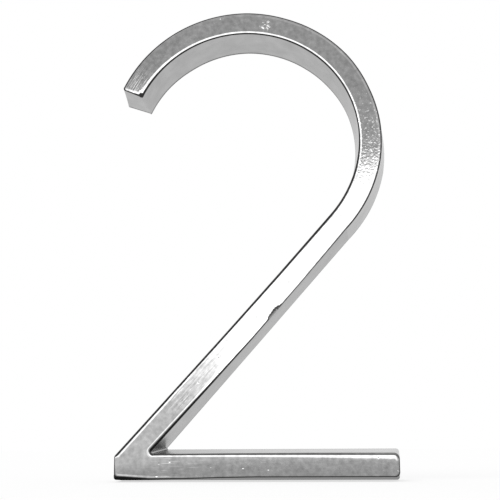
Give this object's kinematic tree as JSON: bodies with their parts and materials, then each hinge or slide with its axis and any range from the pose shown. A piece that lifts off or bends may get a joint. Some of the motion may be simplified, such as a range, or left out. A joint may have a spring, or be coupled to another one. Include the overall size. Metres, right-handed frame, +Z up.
{
  "type": "house number",
  "caption": "Slim cast numeral for a wall, with a round bowl, straight diagonal and base bar, drafted walls, rounded front edges and tapped stud holes in its flat back.",
  "frame": {"origin": "midway between the two stud holes, on the flat back that faces the wall", "axes": "+X to the reader's right, +Y into the wall, +Z up; the face looks along -Y"},
  "size_m": [0.0737, 0.0126, 0.127],
  "materials": {
    "chrome": "polished chrome plate on cast zinc, a little dimpled on the face, with smooth satin walls"
  },
  "bodies": {
    "root": {"numeral_two": "chrome"}
  },
  "joints": []
}
